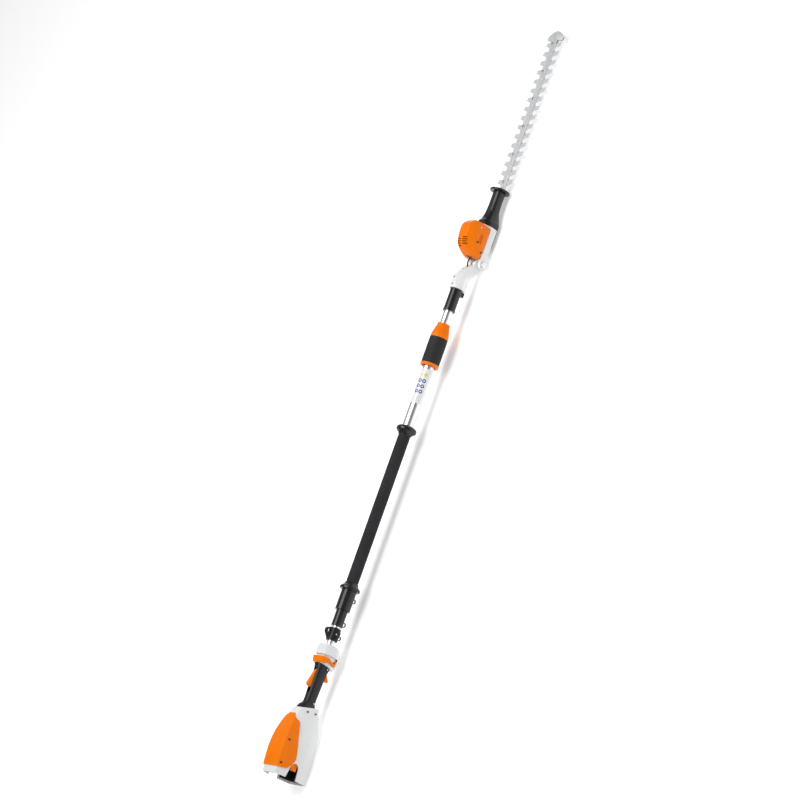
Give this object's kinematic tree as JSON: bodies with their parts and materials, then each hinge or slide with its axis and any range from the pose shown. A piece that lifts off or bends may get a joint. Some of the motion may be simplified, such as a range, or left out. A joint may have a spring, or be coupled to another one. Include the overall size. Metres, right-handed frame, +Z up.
{
  "type": "pole hedge trimmer",
  "caption": "Telescopic long-reach pole hedge trimmer with a battery housing and trigger handle at the rear, a twist lock, a tilting cutting head and a double-sided reciprocating blade.",
  "frame": {"origin": "on the ground below the middle of the tool's length and on its centre plane", "axes": "+X forwards along the pole to the blade's tip, +Y to the operator's left, +Z up, with the tool lying on the ground as it is used"},
  "size_m": [2.6, 0.1032, 0.1344],
  "materials": {
    "tube_aluminium": "satin drawn",
    "plastic_black": "fine grain",
    "foam_black": "soft foam, matte",
    "rubber_black": "ribbed",
    "cable_black": "smooth",
    "shell_white": "fine grain",
    "cast_white": "satin paint",
    "shell_orange": "semi gloss",
    "screw_dark": "blackened",
    "screw_steel": "zinc plated",
    "copper_core": "wound copper on steel laminations",
    "brass": "plated",
    "board_green": "coated",
    "blade_steel": "ground"
  },
  "bodies": {
    "pole_and_handle": {"rear_tube": "tube_aluminium", "outer_tube": "tube_aluminium", "reducer_sleeve": "plastic_black", "cable_guides": "plastic_black", "rear_hand_guard": "plastic_black", "grip_hose": "foam_black", "front_hand_guard": "plastic_black", "lock_collar": "plastic_black", "collet": "shell_white", "spiral_cable": "cable_black", "housing_right": "shell_white", "housing_left": "shell_white", "top_cover": "shell_orange", "housing_screws": "screw_dark", "battery_guide": "plastic_black", "contact_block": "plastic_black", "contact_blades": "brass", "power_board": "board_green", "rubber_feet": "rubber_black", "handle_right": "plastic_black", "handle_left": "plastic_black", "handle_screws": "screw_steel", "trigger_switch": "plastic_black", "control_right": "shell_white", "control_left": "shell_white", "control_board": "board_green"},
    "carry_clamp": {"carry_clamp_top": "plastic_black", "carry_clamp_base": "plastic_black", "carry_clamp_screws": "screw_steel"},
    "latch_right": {"latch_right": "shell_orange"},
    "latch_left": {"latch_left": "shell_orange"},
    "trigger": {"trigger": "shell_orange"},
    "lockout_lever": {"lockout_lever": "shell_orange"},
    "unlock_slide": {"unlock_slide": "shell_orange"},
    "twist_lock": {"twist_sleeve": "shell_orange", "twist_grip": "rubber_black"},
    "inner_pole": {"inner_tube": "tube_aluminium", "guide_bush": "plastic_black", "joint_base": "cast_white", "joint_screws": "screw_steel", "slide_spring": "screw_steel", "motor_cable": "cable_black"},
    "lock_sleeve": {"slide_sleeve": "plastic_black"},
    "cutting_head": {"detent_plate": "screw_steel", "pivot_bolt": "screw_steel", "gear_housing": "cast_white", "gearbox_lid": "screw_steel", "base_plate": "plastic_black", "motor_cover": "shell_orange", "head_screws": "screw_dark", "motor_stator": "copper_core", "motor_bearings": "screw_steel", "crank_axle": "screw_steel", "blade_guard": "plastic_black", "guide_bar": "blade_steel", "blade_bolts": "screw_steel"},
    "crank": {"crank_gear": "screw_steel"},
    "rotor": {"motor_rotor": "screw_steel"},
    "upper_blade": {"upper_blade": "blade_steel"},
    "lower_blade": {"lower_blade": "blade_steel"}
  },
  "joints": [
    {"name": "carry_clamp_slide", "type": "slide", "parent": "pole_and_handle", "child": "carry_clamp", "axis": [1, 0, 0], "range_m": [-0.014, 0.005]},
    {"name": "latch_right_press", "type": "hinge", "parent": "pole_and_handle", "child": "latch_right", "pos_m": [-1.242, -0.0442, 0.072], "axis": [0, 0, 1], "range_deg": [-8, 0], "stiffness_Nm_per_rad": 0.25, "springref_deg": 14.32},
    {"name": "latch_left_press", "type": "hinge", "parent": "pole_and_handle", "child": "latch_left", "pos_m": [-1.242, 0.0442, 0.072], "axis": [0, 0, 1], "range_deg": [0, 8], "stiffness_Nm_per_rad": 0.25, "springref_deg": -14.32},
    {"name": "trigger_pull", "type": "hinge", "parent": "pole_and_handle", "child": "trigger", "pos_m": [-0.95, 0, 0.057], "axis": [0, 1, 0], "range_deg": [0, 12], "stiffness_Nm_per_rad": 0.6, "springref_deg": -14.32},
    {"name": "lockout_press", "type": "hinge", "parent": "pole_and_handle", "child": "lockout_lever", "pos_m": [-0.948, 0, 0.076], "axis": [0, 1, 0], "range_deg": [-8, 0], "stiffness_Nm_per_rad": 0.6, "springref_deg": 14.32},
    {"name": "unlock_push", "type": "slide", "parent": "pole_and_handle", "child": "unlock_slide", "axis": [1, 0, 0], "range_m": [0, 0.005], "stiffness_N_per_m": 300, "springref_m": -0.003},
    {"name": "twist_lock_turn", "type": "hinge", "parent": "pole_and_handle", "child": "twist_lock", "pos_m": [0.16, 0, 0.066], "axis": [1, 0, 0], "range_deg": [0, 90]},
    {"name": "pole_extend", "type": "slide", "parent": "pole_and_handle", "child": "inner_pole", "axis": [1, 0, 0], "range_m": [0, 0.7], "deforming": ["spiral_cable"]},
    {"name": "lock_sleeve_pull", "type": "slide", "parent": "inner_pole", "child": "lock_sleeve", "axis": [-1, 0, 0], "range_m": [0, 0.014], "stiffness_N_per_m": 400, "springref_m": -0.006, "deforming": ["slide_spring"]},
    {"name": "head_tilt", "type": "hinge", "parent": "inner_pole", "child": "cutting_head", "pos_m": [0.462, 0, 0.021], "axis": [0, 1, 0], "range_deg": [-45, 70], "deforming": ["motor_cable"]},
    {"name": "crank_spin", "type": "hinge", "parent": "cutting_head", "child": "crank", "pos_m": [0.525, 0, 0.021], "axis": [0, 0, 1], "continuous": true},
    {"name": "rotor_spin", "type": "hinge", "parent": "cutting_head", "child": "rotor", "pos_m": [0.558, 0, 0.021], "axis": [0, 0, 1], "continuous": true},
    {"name": "upper_blade_stroke", "type": "slide", "parent": "cutting_head", "child": "upper_blade", "axis": [1, 0, 0], "range_m": [-0.00413, 0.01238]},
    {"name": "lower_blade_stroke", "type": "slide", "parent": "cutting_head", "child": "lower_blade", "axis": [1, 0, 0], "range_m": [-0.01238, 0.00413]}
  ],
  "couplings": [
    {"joint": "rotor_spin", "follows": "crank_spin", "ratio": -4.5},
    {"joint": "lower_blade_stroke", "follows": "upper_blade_stroke", "ratio": -1}
  ]
}
